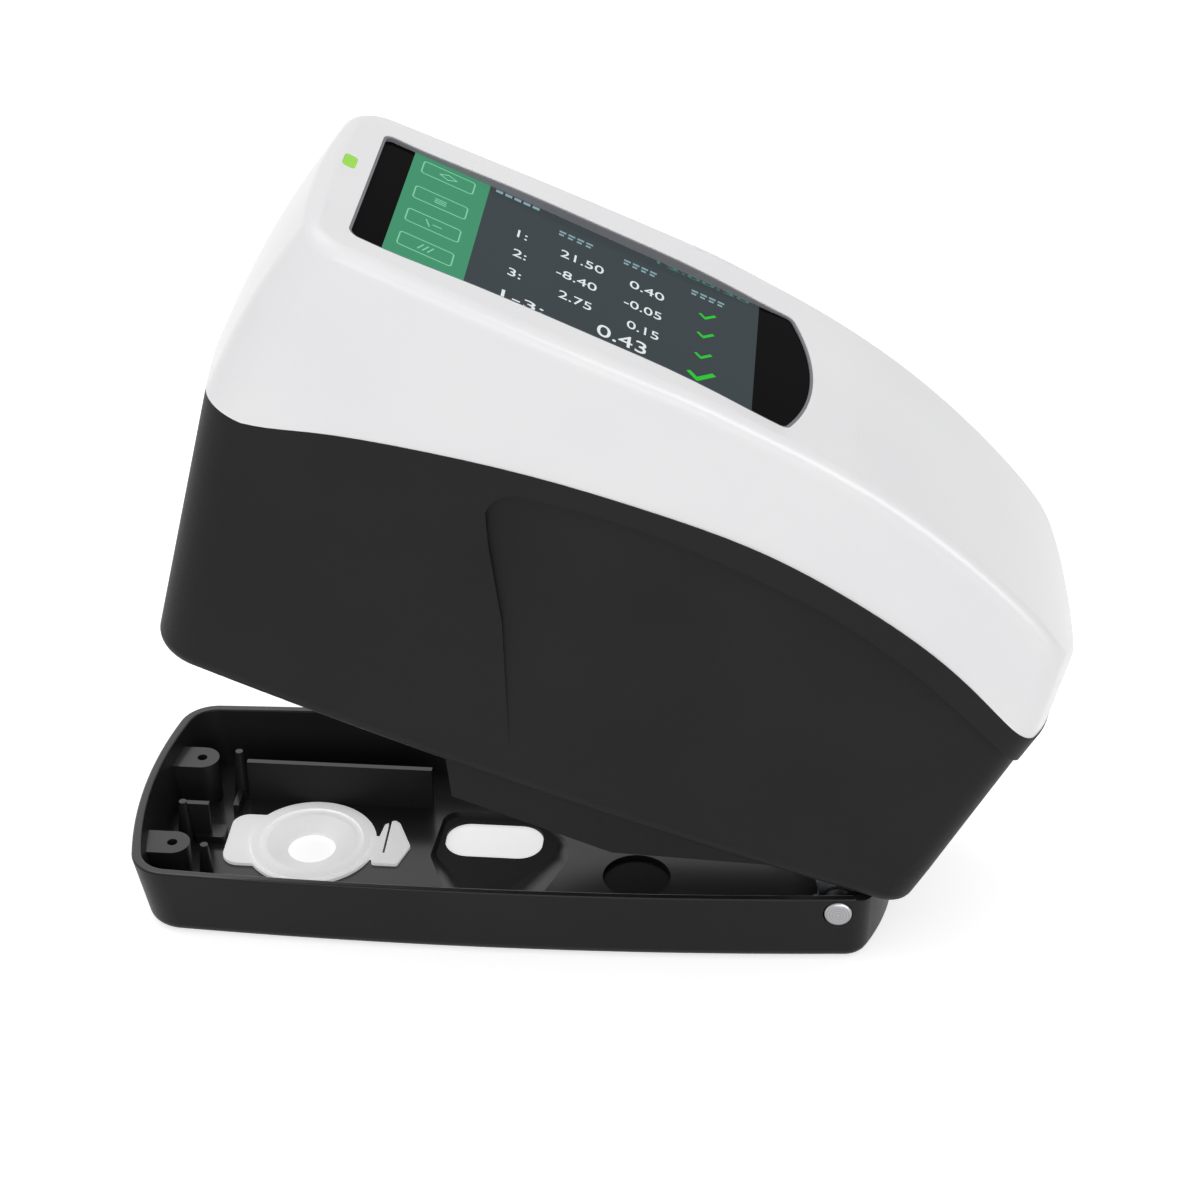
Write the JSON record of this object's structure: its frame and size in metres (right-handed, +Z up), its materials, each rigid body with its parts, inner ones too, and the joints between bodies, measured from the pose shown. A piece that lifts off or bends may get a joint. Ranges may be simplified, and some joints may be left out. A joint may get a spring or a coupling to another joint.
{
  "type": "benchtop colorimeter",
  "caption": "Colour-measuring head with a touch window, hinged over a shallow tray base with a locator ring; it springs open and is pressed down to measure.",
  "frame": {"origin": "on the underside of the base tray, straight below the hinge pin and halfway across", "axes": "+X from the front towards the hinge at the rear, +Y across to the far side with the buttons, +Z up; stored with the head sprung open by 21 degrees"},
  "size_m": [0.2127, 0.0731, 0.1769],
  "materials": {
    "white_plastic": "satin",
    "dark_plastic": "fine matte texture",
    "window_glass": "polished, black edged",
    "display": "lit panel",
    "ring_white": "translucent satin",
    "green_light": "clear tinted",
    "pin_steel": "turned",
    "spring_steel": "drawn wire",
    "screw_steel": "plated",
    "bracket_steel": "pressed",
    "bush_polymer": "self-lubricating, turned",
    "spacer_brass": "plain",
    "rubber": "matte",
    "seal_rubber": "matte",
    "board": "solder mask",
    "can_metal": "tinned",
    "black_part": "matte",
    "diffuse_white": "matte",
    "nose_plastic": "matte",
    "lamp": "clear",
    "optics_alloy": "black anodised",
    "mirror": "front coated",
    "battery_wrap": "shrink film",
    "button_plastic": "satin"
  },
  "bodies": {
    "base": {"base_tray": "dark_plastic", "locator_ring": "ring_white", "hinge_pin": "pin_steel", "pin_cap": "pin_steel", "return_springs": "spring_steel", "foot_pads": "rubber"},
    "head": {"lower_shell": "dark_plastic", "upper_cover": "white_plastic", "window_seal": "seal_rubber", "touch_glass": "window_glass", "display_panel": "display", "display_bracket": "bracket_steel", "display_screws": "screw_steel", "board_spacers": "spacer_brass", "main_board": "board", "board_screws": "screw_steel", "processor_can": "can_metal", "sounder": "black_part", "status_light": "green_light", "case_screws": "screw_steel", "hinge_bracket": "bracket_steel", "hinge_bushes": "bush_polymer", "bracket_screws": "screw_steel", "aperture_nose": "nose_plastic", "nose_screws": "screw_steel", "sphere_lower": "diffuse_white", "sphere_upper": "diffuse_white", "sphere_screws": "screw_steel", "lamp_board": "board", "lamps": "lamp", "viewing_tube": "optics_alloy", "fold_mirror": "mirror", "optics_bench": "optics_alloy", "optics_lid": "optics_alloy", "bench_screws": "screw_steel", "grating": "mirror", "sensor_board": "board", "line_sensor": "black_part", "battery_pack": "battery_wrap", "battery_hatch": "dark_plastic", "hatch_screws": "screw_steel", "button_board": "board", "button_switches": "black_part", "button_screws": "screw_steel", "socket_board": "board", "usb_socket": "can_metal"},
    "measure_button": {"measure_button": "button_plastic"},
    "power_button": {"power_button": "button_plastic"}
  },
  "joints": [
    {"name": "head_hinge", "type": "hinge", "parent": "base", "child": "head", "pos_m": [0, 0, 0.0136], "axis": [0, 1, 0], "range_deg": [-21, 0], "stiffness_Nm_per_rad": 1.2, "springref_deg": 28.65, "deforming": ["return_springs"]},
    {"name": "measure_button_press", "type": "slide", "parent": "head", "child": "measure_button", "axis": [0, -1, 0], "range_m": [0, 0.0008], "stiffness_N_per_m": 1500, "springref_m": -0.0008},
    {"name": "power_button_press", "type": "slide", "parent": "head", "child": "power_button", "axis": [0, -1, 0], "range_m": [0, 0.0008], "stiffness_N_per_m": 1500, "springref_m": -0.0008}
  ]
}
